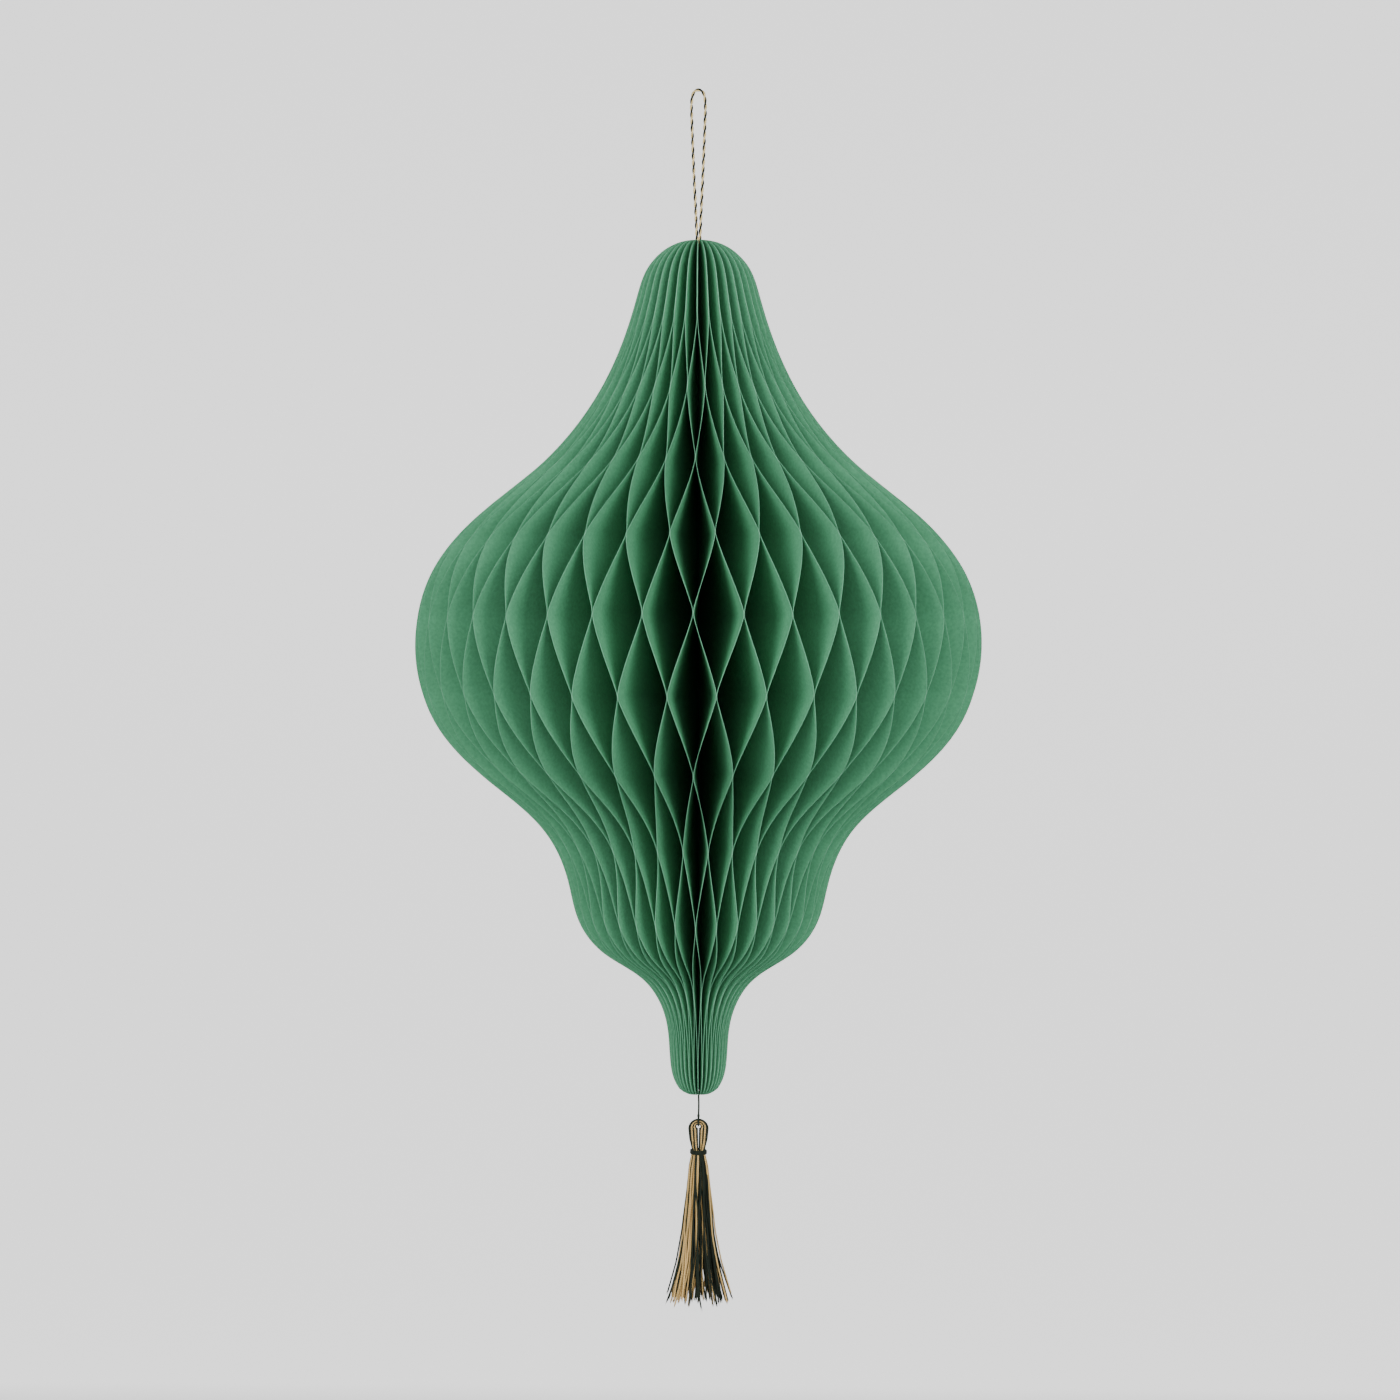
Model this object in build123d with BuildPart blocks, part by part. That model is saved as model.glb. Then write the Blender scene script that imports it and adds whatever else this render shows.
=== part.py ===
"""Accordion paper lantern: a fan of honeycomb leaves that opens all the way round its spine.

Millimetres, +Z up. The origin is where a hook carries the hanging loop, so the rest hangs below it.
The seam where the two cover cards meet points to +Y, and the middle leaf pair points to -Y.
"""

import math
import os

from build123d import *

# Overall shape of the paper
paper_height = 394.0
belly_radius = 130.0
loop_height = 69.0  # from the hook down to the top of the paper

# Leaves: glued pairs in an odd number, hinged to each other along the spine
pair_count = 37
leaf_thickness = 0.18
glue_thickness = 0.04
hinge_gap = 0.05  # from a face to the line that it hinges on

# Cover cards, the leaf glued to each, and the magnets let into them
cover_thickness = 0.7
seam_gap = 0.10  # between the two cards when the lantern is open
magnet_diameter = 8.0
magnet_thickness = 0.5
magnet_clearance = 0.1
magnet_places = [(0.20, 0.150), (0.56, 0.310), (0.84, 0.469), (0.50, 0.670), (0.22, 0.820)]

# Spine cord with a knot at each end
cord_diameter = 2.2
knot_height = 5.0
knot_rounding = 1.6
knot_clearance = 0.3  # from a knot to the leaves round it
pivot_inset = 1.5  # the cords bend this far inside the paper's ends
pivot_gap = 0.1  # between the two pieces of cord at a bend

# Hanging loop of twine
twine_diameter = 1.2
twine_gap = 0.04  # between the two legs where they meet the paper
crown_knot_radius = 1.3
arch_half_width = 3.35
arch_drop = 4.5  # from the hook down to the widest point of the arch
arch_top_half_width = 2.1

# Tassel and its thread
thread_diameter = 0.7
thread_length = 10.5  # from the paper down to the top of the tassel
thread_knot_radius = 1.2
ring_clearance = 0.15  # between the thread's ring and the strands that it carries
ring_knot_radius = 0.6
ring_gap = 0.03  # between the ring and the knot above it
strand_radius = 1.45
strand_bend_radius = 3.3
strand_gap = 0.04  # between the two feet of the head
shoulder_drop = 2.0
head_height = 14.0
binding_turns = 4
binding_thread_diameter = 0.7
binding_pitch = 0.62
binding_clearance = 0.05
skirt_radius = 12.0
skirt_length = 69.0  # below the binding

# The half outline of a leaf, as shares of belly_radius and of paper_height, from the top down
outline_shares = [
    (0.118, 0.0104),
    (0.185, 0.0345),
    (0.218, 0.0650),
    (0.266, 0.1157),
    (0.3685, 0.1860),
    (0.539, 0.2563),
    (0.791, 0.3264),
    (0.939, 0.3870),
    (1.000, 0.4690),
    (0.934, 0.5610),
    (0.745, 0.6307),
    (0.546, 0.6900),
    (0.463, 0.7477),
    (0.4254, 0.7944),
    (0.3477, 0.8294),
    (0.193, 0.8647),
    (0.1154, 0.9114),
    (0.103, 0.9467),
    (0.0854, 0.9817),
    (0.0638, 0.9934),
]

# The half outline of the tassel's skirt, as shares of skirt_radius and of skirt_length
skirt_shares = [(0.42, 0.22), (0.52, 0.45), (0.72, 0.73)]

# What follows from those sizes
paper_top = -loop_height
paper_bottom = paper_top - paper_height
fan_step = 360.0 / (pair_count + 1)
step_angle = math.radians(fan_step)
pair_thickness = 2 * leaf_thickness + glue_thickness
hinge_pitch = pair_thickness + 2 * hinge_gap
spine_radius = hinge_pitch / 2 / math.tan(step_angle / 2)
seam_azimuth = 90.0

card_offset = seam_gap / 2
end_leaf_offset = card_offset + cover_thickness + glue_thickness
cover_hinge_offset = end_leaf_offset + leaf_thickness + hinge_gap
cover_hinge_radius = (cover_hinge_offset + hinge_pitch / 2 / math.cos(step_angle)) / math.tan(step_angle)

twine_radius = twine_diameter / 2
leg_offset = twine_radius + twine_gap / 2
top_pivot = paper_top - pivot_inset
bottom_pivot = paper_bottom + pivot_inset
leg_end = top_pivot + crown_knot_radius + pivot_gap
knot_radius = spine_radius - knot_clearance
top_knot_top = top_pivot - crown_knot_radius - pivot_gap
bottom_knot_bottom = bottom_pivot + thread_knot_radius + pivot_gap

thread_radius = thread_diameter / 2
head_top = paper_bottom - thread_length
ring_centre = head_top - strand_radius
ring_radius = strand_radius + ring_clearance + thread_radius
ring_knot_centre = ring_centre + ring_radius + thread_radius + ring_gap + ring_knot_radius
shoulder = ring_centre - strand_bend_radius - shoulder_drop
neck_top = head_top - head_height
foot_offset = strand_radius + strand_gap / 2
neck_radius = foot_offset + strand_radius
binding_height = (binding_turns - 1) * binding_pitch + binding_thread_diameter
neck_bottom = neck_top - binding_height
skirt_bottom = neck_bottom - skirt_length
binding_radius = neck_radius + binding_clearance + binding_thread_diameter / 2

outline_points = [
    (radius * belly_radius, paper_top - depth * paper_height) for radius, depth in outline_shares
]

# Right leg of the loop from the paper up to its arch; the left leg mirrors it
leg_points = [
    (leg_offset, leg_end),
    (1.40, -52.0),
    (2.25, -34.5),
    (3.00, -15.5),
    (arch_half_width, -arch_drop),
    (arch_top_half_width, twine_radius),
]

os.makedirs("parts", exist_ok=True)


def save(name, part):
    """Labels a finished piece and writes it to its STEP file."""
    part.label = name
    export_step(part, f"parts/{name}.step")


def radial_plane(azimuth):
    """Upright plane through the axis: x points outwards, y up, and z towards lower azimuths."""
    angle = math.radians(azimuth)
    outwards = (math.cos(angle), math.sin(angle), 0)
    sideways = (math.sin(angle), -math.cos(angle), 0)
    return Plane(origin=(0, 0, 0), x_dir=outwards, z_dir=sideways)


def leaf_outline():
    """Closed line round a flat leaf: the shaped outer edge and the straight spine edge."""
    top = (spine_radius, paper_top)
    bottom = (spine_radius, paper_bottom)
    Spline(top, *outline_points)
    Line(outline_points[-1], bottom)
    Line(bottom, top)


def card_shape(plane):
    """Flat shape of a cover: a leaf's, cut back to the line that the cover hinges on."""
    with BuildSketch(plane) as shape:
        with BuildLine():
            leaf_outline()
        make_face()
        with Locations((0, (paper_top + paper_bottom) / 2)):
            Rectangle(2 * cover_hinge_radius, 2 * paper_height, mode=Mode.SUBTRACT)
    return shape.sketch


def corner_radii(points):
    """Radius of each inner corner's arc: as large as the two runs beside it allow."""
    radii = []
    for before, corner, after in zip(points, points[1:], points[2:]):
        arriving = Vector(*corner) - Vector(*before)
        leaving = Vector(*after) - Vector(*corner)
        half_turn = math.radians(arriving.get_angle(leaving) / 2)
        radii.append(0.45 * min(arriving.length, leaving.length) / math.tan(half_turn))
    return radii


# Leaf pairs, counted round from the seam
for number in range(1, pair_count + 1):
    middle = radial_plane(seam_azimuth + number * fan_step)
    with BuildPart() as leaf_pair:
        for side in (1, -1):
            with BuildSketch(middle.offset(side * glue_thickness / 2)):
                with BuildLine():
                    leaf_outline()
                make_face()
            extrude(amount=side * leaf_thickness)
    save(f"leaf_pair_{number:02d}", leaf_pair.part)

# Cover cards with their magnets and end leaves, one set on each side of the seam
magnet_points = [
    (radius * belly_radius, paper_top - depth * paper_height) for radius, depth in magnet_places
]
for hand, side in (("left", -1), ("right", 1)):
    seam = radial_plane(seam_azimuth)

    with BuildPart() as cover:
        extrude(card_shape(seam.offset(side * card_offset)), amount=side * cover_thickness)
        with BuildSketch(seam.offset(side * card_offset)):
            with Locations(*magnet_points):
                Circle(magnet_diameter / 2 + magnet_clearance)
        extrude(amount=side * magnet_thickness, mode=Mode.SUBTRACT)
    save(f"cover_{hand}", cover.part)

    with BuildPart() as closure_magnets:
        with BuildSketch(seam.offset(side * card_offset)):
            with Locations(*magnet_points):
                Circle(magnet_diameter / 2)
        extrude(amount=side * magnet_thickness)
    save(f"closure_magnets_{hand}", closure_magnets.part)

    with BuildPart() as end_leaf:
        extrude(card_shape(seam.offset(side * end_leaf_offset)), amount=side * leaf_thickness)
    save(f"end_leaf_{hand}", end_leaf.part)

# Spine cord and the knots that hold the leaves on it
with BuildPart() as top_knot:
    with BuildSketch(Plane.XY.offset(top_knot_top)):
        Circle(knot_radius)
    extrude(amount=-knot_height)
    fillet(top_knot.edges().filter_by(GeomType.CIRCLE), knot_rounding)
save("top_knot", top_knot.part)

with BuildPart() as bottom_knot:
    with BuildSketch(Plane.XY.offset(bottom_knot_bottom)):
        Circle(knot_radius)
    extrude(amount=knot_height)
    fillet(bottom_knot.edges().filter_by(GeomType.CIRCLE), knot_rounding)
save("bottom_knot", bottom_knot.part)

with BuildPart() as spine_cord:
    with BuildSketch(Plane.XY.offset(bottom_knot_bottom + knot_height)):
        Circle(cord_diameter / 2)
    extrude(amount=top_knot_top - bottom_knot_bottom - 2 * knot_height)
save("spine_cord", spine_cord.part)

# Hanging loop: up one leg, over the hook and down the other leg
loop_points = [(x, 0, z) for x, z in leg_points] + [(-x, 0, z) for x, z in reversed(leg_points)]
loop_radii = corner_radii(loop_points)
print("Radii of the loop's arcs:", [round(radius, 1) for radius in loop_radii])
with BuildPart() as hanging_loop:
    with BuildLine() as loop_path:
        FilletPolyline(*loop_points, radius=loop_radii)
    with BuildSketch(Plane(origin=loop_path.line @ 0, z_dir=loop_path.line % 0)):
        Circle(twine_radius)
    sweep()
save("hanging_loop", hanging_loop.part)

with BuildPart() as crown_knot:
    with Locations((0, 0, top_pivot)):
        Sphere(crown_knot_radius)
save("crown_knot", crown_knot.part)

# Thread that carries the tassel: a straight run between two knots, and the ring tied through the head
with BuildPart() as tassel_thread:
    with BuildSketch(Plane.XZ):
        with Locations((0, bottom_pivot)):
            Circle(thread_knot_radius)
        with Locations((0, ring_knot_centre)):
            Circle(ring_knot_radius)
        with Locations((0, (bottom_pivot + ring_knot_centre) / 2)):
            Rectangle(thread_diameter, bottom_pivot - ring_knot_centre)
        with Locations((-thread_knot_radius, (bottom_pivot + ring_knot_centre) / 2)):
            Rectangle(2 * thread_knot_radius, 2 * thread_length + paper_height, mode=Mode.SUBTRACT)
    revolve(axis=Axis.Z)
    with BuildSketch(Plane.XZ):
        with Locations((0, ring_centre + ring_radius)):
            Circle(thread_radius)
    revolve(axis=Axis((0, 0, ring_centre), (1, 0, 0)))
save("tassel_thread", tassel_thread.part)

# Tassel: the folded strands of its head, the thread that binds them and the skirt below
head_points = [(foot_offset, 0, neck_top), (strand_bend_radius, 0, shoulder)]
head_points.append((strand_bend_radius, 0, ring_centre))
head_points += [(-x, 0, z) for x, _, z in reversed(head_points)]
with BuildPart() as tassel_head:
    with BuildLine() as head_path:
        FilletPolyline(*head_points, radius=corner_radii(head_points))
    with BuildSketch(Plane(origin=head_path.line @ 0, z_dir=head_path.line % 0)):
        Circle(strand_radius)
    sweep()
    with Locations((0, 0, neck_top - strand_radius / 2)):
        Box(8 * strand_radius, 4 * strand_radius, strand_radius, mode=Mode.SUBTRACT)
save("tassel_head", tassel_head.part)

with BuildPart() as tassel_binding:
    with BuildSketch(Plane.XZ):
        first_turn = neck_top - binding_thread_diameter / 2
        for turn in range(binding_turns):
            with Locations((binding_radius, first_turn - turn * binding_pitch)):
                Circle(binding_thread_diameter / 2)
    revolve(axis=Axis.Z)
save("tassel_binding", tassel_binding.part)

with BuildPart() as tassel_skirt:
    with BuildSketch(Plane.XZ):
        with BuildLine():
            skirt_points = [
                (radius * skirt_radius, neck_bottom - length * skirt_length)
                for radius, length in skirt_shares
            ]
            Polyline((neck_radius, neck_bottom), (neck_radius, neck_top), (0, neck_top), (0, skirt_bottom))
            Line((0, skirt_bottom), (skirt_radius, skirt_bottom))
            Spline((neck_radius, neck_bottom), *skirt_points, (skirt_radius, skirt_bottom))
        make_face()
    revolve(axis=Axis.Z)
save("tassel_skirt", tassel_skirt.part)
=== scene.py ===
"""Looks of an accordion paper lantern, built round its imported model.

Metres, +Z up, origin where a hook carries the hanging loop. The seam points to +Y.
"""

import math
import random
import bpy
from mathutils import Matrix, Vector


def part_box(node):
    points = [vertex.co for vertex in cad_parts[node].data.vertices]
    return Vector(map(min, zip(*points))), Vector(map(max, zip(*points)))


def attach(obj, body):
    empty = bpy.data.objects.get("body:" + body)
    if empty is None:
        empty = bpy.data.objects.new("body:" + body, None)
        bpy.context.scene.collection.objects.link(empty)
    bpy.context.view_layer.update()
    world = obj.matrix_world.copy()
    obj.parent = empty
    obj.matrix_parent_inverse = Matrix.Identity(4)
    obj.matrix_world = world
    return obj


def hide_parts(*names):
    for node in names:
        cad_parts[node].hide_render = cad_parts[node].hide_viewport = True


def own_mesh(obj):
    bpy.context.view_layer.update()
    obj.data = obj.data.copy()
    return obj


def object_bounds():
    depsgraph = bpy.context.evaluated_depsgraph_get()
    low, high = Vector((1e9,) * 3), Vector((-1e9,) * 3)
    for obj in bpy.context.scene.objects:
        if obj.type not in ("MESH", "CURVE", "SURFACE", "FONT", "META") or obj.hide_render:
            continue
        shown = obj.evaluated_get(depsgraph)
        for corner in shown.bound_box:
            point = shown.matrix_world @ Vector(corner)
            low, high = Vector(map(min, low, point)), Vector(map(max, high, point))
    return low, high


bl_info = {
    "name": "Accordion Paper Lantern",
    "version": (1, 0, 0),
    "blender": (4, 5, 0),
    "location": "3D View > Sidebar > Lantern",
    "description": "Honeycomb paper leaves, twine loop and yarn tassel",
    "category": "Add Mesh",
}

import bpy
import numpy as np
from mathutils import Vector

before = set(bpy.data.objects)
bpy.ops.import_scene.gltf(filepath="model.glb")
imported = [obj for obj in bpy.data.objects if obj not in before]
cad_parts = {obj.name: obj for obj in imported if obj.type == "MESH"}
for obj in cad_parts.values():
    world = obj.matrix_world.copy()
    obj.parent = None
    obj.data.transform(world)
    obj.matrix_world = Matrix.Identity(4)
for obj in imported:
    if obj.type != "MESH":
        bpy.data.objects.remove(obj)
CAD_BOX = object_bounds()

MM = 0.001
PAIR_COUNT = sum(name.startswith("leaf_pair_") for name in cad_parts)
FAN_STEP = 2 * math.pi / (PAIR_COUNT + 1)
SEAM_AZIMUTH = math.pi / 2
MIDDLE_PAIR = (PAIR_COUNT + 1) // 2

# The hanging loop's centre line, up one leg and down the other, as (x, z) in millimetres
LEG = [
    (0.62, -69.1),
    (1.40, -52.0),
    (2.25, -34.5),
    (3.00, -15.5),
    (3.35, -4.5),
    (2.10, 0.6),
]

# Half width of the tassel's skirt in millimetres, against the share of its length
SKIRT_WIDTHS = [(0.0, 3.1), (0.08, 4.3), (0.3, 5.7), (0.55, 7.5), (0.78, 10.2), (0.92, 12.6), (1.0, 14.0)]

# Twine plies, as shares of the twine's diameter. Together they draw it over a quarter fuller than that.
PLY_OFFSET = 0.28
PLY_RADIUS = 0.36
CROWN_PLY_RADIUS = 0.27

# Leaves
LEAF_GAP = 0.01 * MM
NARROW_BELOW = 75 * MM  # glue lines widen where the leaf is narrower than this
NARROW_FADE = 50 * MM
NARROW_GLUE = 1.5  # how much of its own height a glue line gains there
ROUNDING = 0.14  # how much a cell's wall curves between its glue lines
SPINE_THICKNESS = 0.45  # share of the full thickness that a leaf has at the crowded spine
SPINE_FADE = 30 * MM
SHARP_ANGLE = math.radians(40)

# How the folded yarns are packed in the head: layers outwards, and rows back in a brick pattern
HEAD_LAYERS = 5
HEAD_ROWS = 5
LAYER_STEP = 0.55 * MM
ROW_STEP = 0.40 * MM
STAGGER = 0.26 * MM
SLIMMEST_YARN = 0.66  # share of its full width where a yarn is squeezed over the thread

# Filling yarns turn by nearly the golden angle from one to the next, which spreads them evenly
GOLDEN_TURN = 2.39996
STRIPES = 11  # bands of colour round the skirt

# Thread radii as drawn; the tassel's hanging thread is drawn fuller than it is
BINDING_STRAND = 0.40 * MM
THREAD_STRAND = 0.45 * MM

# Lights, in metres from the point that the camera looks at
SOFTBOX_PLACE = (0.74, -1.02, 0.22)
SOFTBOX_SIZE = (0.7, 1.3)
FILL_PLACE = (0, -1.5, 0.25)
FILL_SIZE = (0.9, 0.9)
WORLD_STRENGTH = 0.17
LENS_SHIFT = (0.0011, -0.0143)

# The backdrop glows only behind the lantern, from GLOW_START to GLOW_FULL metres behind its axis
SWEEP_GREY = 0.4
SWEEP_GLOW = 1.3
GLOW_START = 0.10
GLOW_FULL = 0.24


# ---------------------------------------------------------------- settings


class LanternPaperSettings(bpy.types.PropertyGroup):
    thickness: bpy.props.FloatProperty(
        name="Leaf thickness", description="Thickness of one paper leaf", default=0.18 * MM, unit="LENGTH"
    )
    level_spacing: bpy.props.FloatProperty(
        name="Glue line spacing",
        description="From a glue line to the next one",
        default=34.4 * MM,
        unit="LENGTH",
    )
    first_level: bpy.props.FloatProperty(
        name="First glue line", description="Below the top of the paper", default=37.1 * MM, unit="LENGTH"
    )
    glue_height: bpy.props.FloatProperty(
        name="Glue line height", description="Height of one glue line", default=2.4 * MM, unit="LENGTH"
    )
    cut_edge: bpy.props.FloatProperty(
        name="Cut edge", description="Depth of the pale cut edge", default=0.03 * MM, unit="LENGTH"
    )
    row_step: bpy.props.FloatProperty(
        name="Row step", description="Mesh spacing along a leaf's outline", default=2.3 * MM, unit="LENGTH"
    )
    unevenness: bpy.props.FloatProperty(
        name="Unevenness", description="How far hand-glued nodes stray", default=0.45 * MM, unit="LENGTH"
    )
    colour: bpy.props.StringProperty(name="Paper colour", description="sRGB hex", default="#519870")
    edge_colour: bpy.props.StringProperty(name="Cut edge colour", description="sRGB hex", default="#6CA987")
    seed: bpy.props.IntProperty(name="Seed", description="Seed of the unevenness", default=11)


class LanternTwineSettings(bpy.types.PropertyGroup):
    diameter: bpy.props.FloatProperty(
        name="Twine", description="Diameter of the twisted twine", default=1.2 * MM, unit="LENGTH"
    )
    twist: bpy.props.FloatProperty(
        name="Twist", description="Length of one full twist", default=6.4 * MM, unit="LENGTH"
    )
    cream: bpy.props.StringProperty(name="Cream ply", description="sRGB hex", default="#DFC78C")
    green: bpy.props.StringProperty(name="Green ply", description="sRGB hex", default="#171D18")


class LanternTasselSettings(bpy.types.PropertyGroup):
    yarn: bpy.props.FloatProperty(
        name="Yarn", description="Diameter of a yarn in the skirt", default=0.74 * MM, unit="LENGTH"
    )
    folded: bpy.props.IntProperty(name="Folded yarns", description="Yarns that go over the head", default=25)
    filling: bpy.props.IntProperty(
        name="Filling yarns", description="Yarns that start in the binding", default=88
    )
    gold: bpy.props.StringProperty(name="Gold yarn", description="sRGB hex", default="#DBB878")
    green: bpy.props.StringProperty(name="Green yarn", description="sRGB hex", default="#20281F")
    seed: bpy.props.IntProperty(name="Seed", description="Seed of the yarns' places", default=5)


class LanternStageSettings(bpy.types.PropertyGroup):
    distance: bpy.props.FloatProperty(
        name="Camera distance", description="From the lens to the axis", default=1.26, unit="LENGTH"
    )
    field: bpy.props.FloatProperty(
        name="Field width", description="Width in view at the axis", default=0.6454, unit="LENGTH"
    )
    camera_height: bpy.props.FloatProperty(
        name="Camera height", description="Against the hook", default=-0.2714, unit="LENGTH"
    )
    side_power: bpy.props.FloatProperty(name="Softboxes", description="Power of each softbox", default=17.0)
    fill_power: bpy.props.FloatProperty(
        name="Front fill", description="Power of the weak front light", default=7.0
    )
    camera_turn: bpy.props.FloatProperty(
        name="Camera turn",
        description="Round the axis from straight ahead",
        default=math.radians(1.15),
        subtype="ANGLE",
    )


# ---------------------------------------------------------------- shared helpers


def linear(hex_colour):
    """sRGB hex to the linear colour that shaders take."""
    channels = [int(hex_colour[i : i + 2], 16) / 255 for i in (1, 3, 5)]
    return [c / 12.92 if c <= 0.04045 else ((c + 0.055) / 1.055) ** 2.4 for c in channels] + [1.0]


def add_node(tree, kind, inputs=None, **settings):
    """Adds a node; a value that is a socket is linked, and any other is set."""
    node = tree.nodes.new(kind)
    for key, value in settings.items():
        setattr(node, key, value)
    for key, value in (inputs or {}).items():
        if isinstance(value, bpy.types.NodeSocket):
            tree.links.new(value, node.inputs[key])
        else:
            node.inputs[key].default_value = value
    return node


def new_material(name, roughness, specular=0.5, metallic=0.0, sheen=0.0):
    """A material with one Principled shader; returns (material, tree, shader)."""
    material = bpy.data.materials.new(name)
    material.use_nodes = True
    tree = material.node_tree
    shader = tree.nodes["Principled BSDF"]
    shader.inputs["Roughness"].default_value = roughness
    shader.inputs["Specular IOR Level"].default_value = specular
    shader.inputs["Metallic"].default_value = metallic
    shader.inputs["Sheen Weight"].default_value = sheen
    return material, tree, shader


def object_noise(tree, size, detail=3.0, stretch=(1.0, 1.0, 1.0)):
    """Noise on object coordinates whose features are about size metres across."""
    coordinates = add_node(tree, "ShaderNodeTexCoord")
    mapping = add_node(
        tree, "ShaderNodeMapping", {"Vector": coordinates.outputs["Object"], "Scale": stretch}
    )
    return add_node(
        tree,
        "ShaderNodeTexNoise",
        {"Vector": mapping.outputs["Vector"], "Scale": 1 / size, "Detail": detail, "Roughness": 0.6},
    )


def blend_colours(tree, factor, first, second):
    """Mixes two colours by a factor socket."""
    ramp = add_node(tree, "ShaderNodeValToRGB", {"Fac": factor})
    ramp.color_ramp.elements[0].position = 0.3
    ramp.color_ramp.elements[0].color = first
    ramp.color_ramp.elements[1].position = 0.7
    ramp.color_ramp.elements[1].color = second
    return ramp.outputs["Color"]


def shade(hex_colour, factor):
    """The linear colour of a hex value, made lighter or darker."""
    return [min(1.0, c * factor) for c in linear(hex_colour)[:3]] + [1.0]


def bump_from(tree, shader, height, distance, strength=1.0):
    bump = add_node(
        tree, "ShaderNodeBump", {"Height": height, "Distance": distance, "Strength": strength}
    )
    tree.links.new(bump.outputs["Normal"], shader.inputs["Normal"])


def box_of(name):
    low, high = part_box(name)
    return Vector(low), Vector(high)


def new_piece(name, mesh, body):
    """A finished mesh as an object at the origin that rides on a body."""
    piece = bpy.data.objects.new(name, mesh)
    bpy.context.scene.collection.objects.link(piece)
    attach(piece, body)
    return piece


# ---------------------------------------------------------------- materials


def uncoated_paper(colour):
    """Dyed uncoated paper, about 120 grams: matt, with soft fibre mottling and a faint tooth."""
    material, tree, shader = new_material("uncoated_dyed_paper", roughness=0.88, specular=0.25)
    mottle = object_noise(tree, 1.3 * MM, detail=5.0)
    fibres = object_noise(tree, 0.5 * MM, detail=2.0, stretch=(1.0, 1.0, 0.35))
    colours = blend_colours(tree, mottle.outputs["Fac"], shade(colour, 0.84), shade(colour, 1.12))
    tree.links.new(colours, shader.inputs["Base Color"])
    bump_from(tree, shader, fibres.outputs["Fac"], 0.04 * MM, 0.5)
    return material


def cut_paper_edge(colour):
    """Where the dyed sheet is cut, the undyed core and raised fibres look paler."""
    material, tree, shader = new_material("cut_paper_edge", roughness=0.92, specular=0.2)
    nicks = object_noise(tree, 1.2 * MM, detail=3.0)
    colours = blend_colours(tree, nicks.outputs["Fac"], shade(colour, 0.82), shade(colour, 1.05))
    tree.links.new(colours, shader.inputs["Base Color"])
    bump_from(tree, shader, nicks.outputs["Fac"], 0.05 * MM, 0.4)
    return material


def pressed_card(colour):
    """Dyed pulp card of the covers: matt, with coarser mottling than the leaves."""
    material, tree, shader = new_material("pressed_pulp_card", roughness=0.9, specular=0.25)
    mottle = object_noise(tree, 4.0 * MM, detail=6.0)
    pulp = object_noise(tree, 0.8 * MM, detail=3.0)
    colours = blend_colours(tree, mottle.outputs["Fac"], shade(colour, 0.86), shade(colour, 1.02))
    tree.links.new(colours, shader.inputs["Base Color"])
    bump_from(tree, shader, pulp.outputs["Fac"], 0.06 * MM, 0.6)
    return material


def nickel_plate():
    """Bright nickel plating on pressed disc magnets, faintly scuffed."""
    material, tree, shader = new_material("nickel_plated_magnet", roughness=0.28, metallic=1.0)
    scuffs = object_noise(tree, 0.9 * MM, detail=5.0)
    colours = blend_colours(tree, scuffs.outputs["Fac"], linear("#B9B7B1"), linear("#CFCDC8"))
    tree.links.new(colours, shader.inputs["Base Color"])
    bump_from(tree, shader, scuffs.outputs["Fac"], 0.01 * MM, 0.4)
    return material


def twisted_cotton(name, colour, plies=3, turn=3.2 * MM, diameter=0.9 * MM):
    """Cotton spun from a few plies: soft sheen, and grooves that wind round the strand. The colour is painted
    darker in the grooves as shade, and a little lighter on the ply crowns.

    The strand's mesh carries how far along it each point is, and how far round.
    """
    material, tree, shader = new_material(name, roughness=0.9, specular=0.12, sheen=0.03)
    along = add_node(tree, "ShaderNodeAttribute", attribute_name="along")
    around = add_node(tree, "ShaderNodeAttribute", attribute_name="around")
    turns = add_node(
        tree, "ShaderNodeMath", {0: along.outputs["Fac"], 1: 1 / turn}, operation="MULTIPLY"
    )
    phase = add_node(
        tree, "ShaderNodeMath", {0: turns.outputs[0], 1: around.outputs["Fac"]}, operation="ADD"
    )
    wave = add_node(
        tree, "ShaderNodeMath", {0: phase.outputs[0], 1: plies * math.pi}, operation="MULTIPLY"
    )
    sine = add_node(tree, "ShaderNodeMath", {0: wave.outputs[0]}, operation="SINE")
    ridge_bump_and_groove_shade = add_node(tree, "ShaderNodeMath", {0: sine.outputs[0]}, operation="ABSOLUTE")
    fuzz = object_noise(tree, 0.45 * MM, detail=3.0)
    height = add_node(
        tree,
        "ShaderNodeMath",
        {0: fuzz.outputs["Fac"], 1: 0.35, 2: ridge_bump_and_groove_shade.outputs[0]},
        operation="MULTIPLY_ADD",
    )
    # Painted shade: the colour falls to half in the grooves between plies, where shade falls, and rises
    # slightly on the crowns.
    colours = blend_colours(tree, ridge_bump_and_groove_shade.outputs[0], shade(colour, 0.50), shade(colour, 1.08))
    tree.links.new(colours, shader.inputs["Base Color"])
    bump_from(tree, shader, height.outputs[0], 0.15 * diameter, 1.0)
    return material


# ---------------------------------------------------------------- strands along paths


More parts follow.
